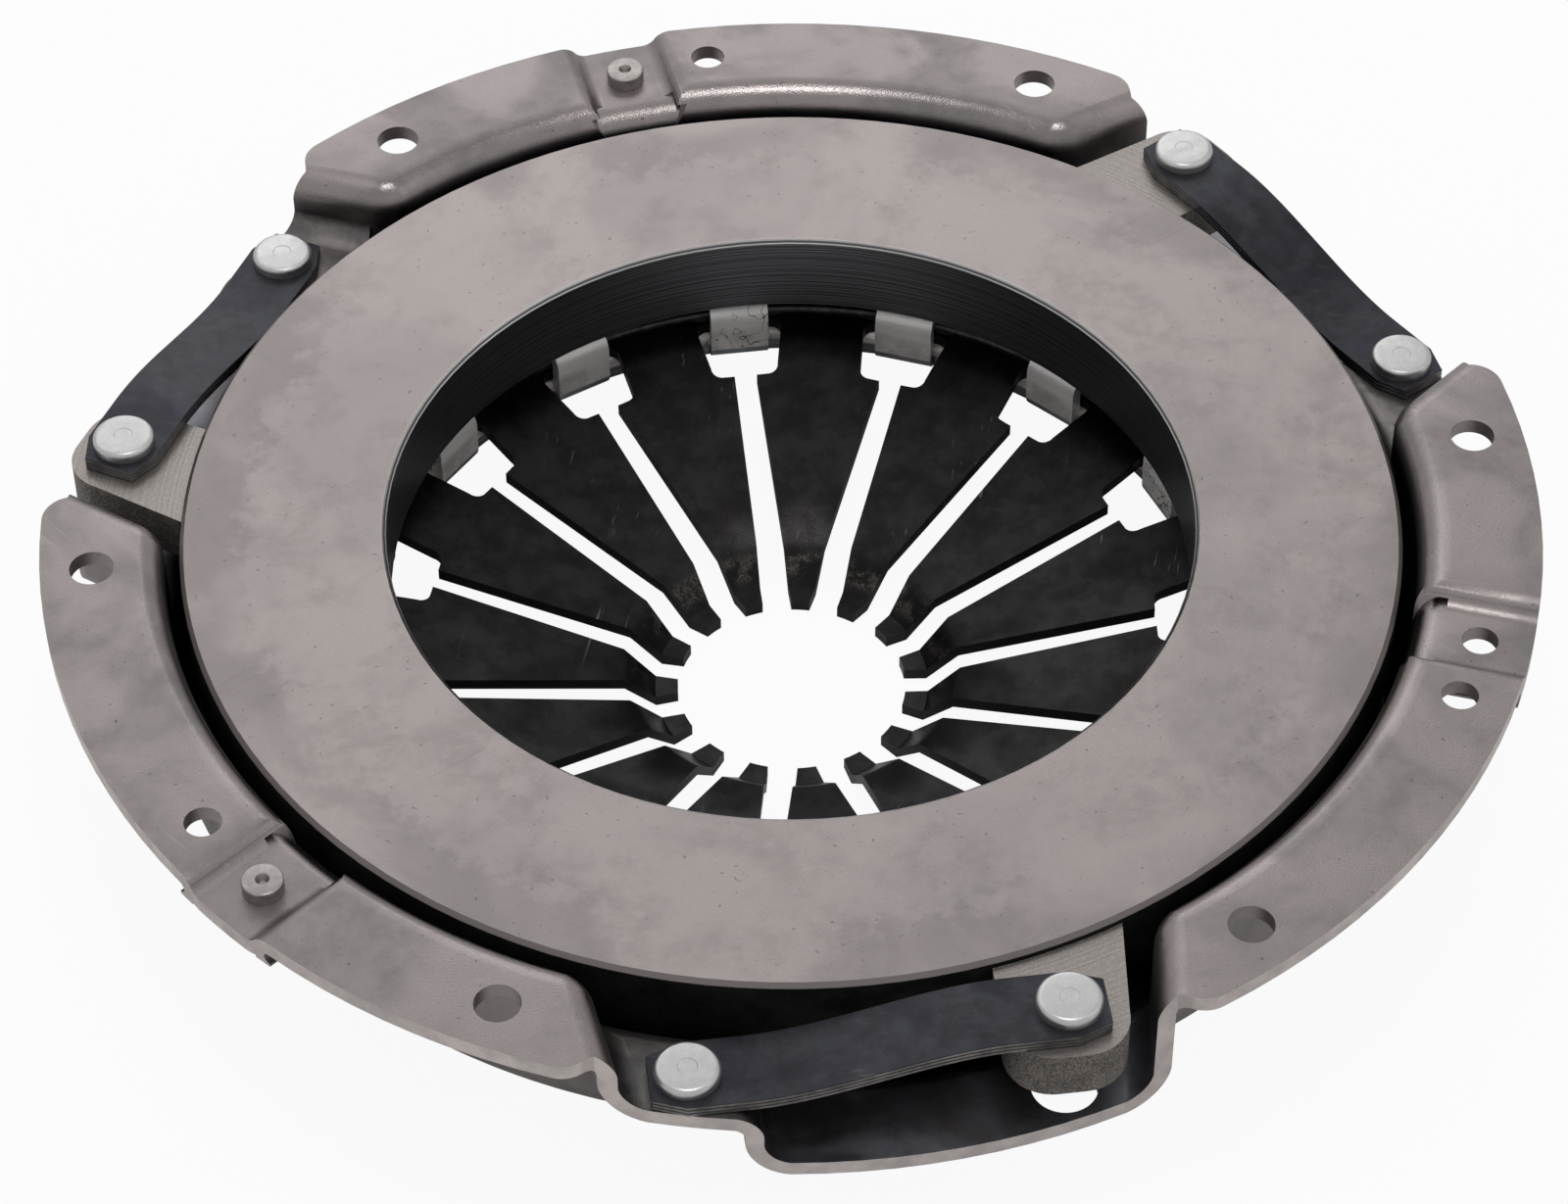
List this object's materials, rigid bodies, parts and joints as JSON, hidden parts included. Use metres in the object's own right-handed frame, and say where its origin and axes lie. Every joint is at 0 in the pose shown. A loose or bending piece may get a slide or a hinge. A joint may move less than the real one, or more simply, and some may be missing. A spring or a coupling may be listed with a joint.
{
  "type": "clutch pressure plate",
  "caption": "Diaphragm spring clutch cover with sprung pressure plate: bolts to a flywheel, clamps the friction disc, and lets go when a release bearing presses the finger tips.",
  "frame": {"origin": "on the axis, in the plane of the cover's bolting face", "axes": "+Z along the axis towards the flywheel; +Y through the middle of the first flange segment, which is also its dowel hole"},
  "size_m": [0.2826, 0.2783, 0.0532],
  "materials": {
    "pressed_sheet_steel": "raw pressed steel, satin with smudges",
    "spring_steel_black": "black heat-treated, satin with scratches",
    "wire_steel": "dark satin",
    "machined_cast_iron": "fine ground face, dark turned bore, rough cast rim",
    "blued_strap_steel": "blued, lighter edges",
    "plain_rivet_steel": "satin",
    "zinc_plated_rivet_steel": "bright zinc plated"
  },
  "bodies": {
    "cover": {"cover": "pressed_sheet_steel", "diaphragm_spring": "spring_steel_black", "fulcrum_ring": "wire_steel", "strap_1_top_leaf": "blued_strap_steel", "strap_1_middle_leaf": "blued_strap_steel", "strap_1_bottom_leaf": "blued_strap_steel", "strap_2_top_leaf": "blued_strap_steel", "strap_2_middle_leaf": "blued_strap_steel", "strap_2_bottom_leaf": "blued_strap_steel", "strap_3_top_leaf": "blued_strap_steel", "strap_3_middle_leaf": "blued_strap_steel", "strap_3_bottom_leaf": "blued_strap_steel", "cover_rivet_1": "zinc_plated_rivet_steel", "cover_rivet_2": "zinc_plated_rivet_steel", "cover_rivet_3": "zinc_plated_rivet_steel", "balance_rivet_1": "plain_rivet_steel", "balance_rivet_2": "plain_rivet_steel"},
    "pressure_plate": {"pressure_plate": "machined_cast_iron", "plate_rivet_1": "zinc_plated_rivet_steel", "plate_rivet_2": "zinc_plated_rivet_steel", "plate_rivet_3": "zinc_plated_rivet_steel"}
  },
  "joints": [
    {"name": "plate_travel", "type": "slide", "parent": "cover", "child": "pressure_plate", "axis": [0, 0, -1], "range_m": [0, 0.004], "stiffness_N_per_m": 600000, "springref_m": -0.0001, "deforming": ["diaphragm_spring", "strap_1_top_leaf", "strap_1_middle_leaf", "strap_1_bottom_leaf", "strap_2_top_leaf", "strap_2_middle_leaf", "strap_2_bottom_leaf", "strap_3_top_leaf", "strap_3_middle_leaf", "strap_3_bottom_leaf"]}
  ]
}
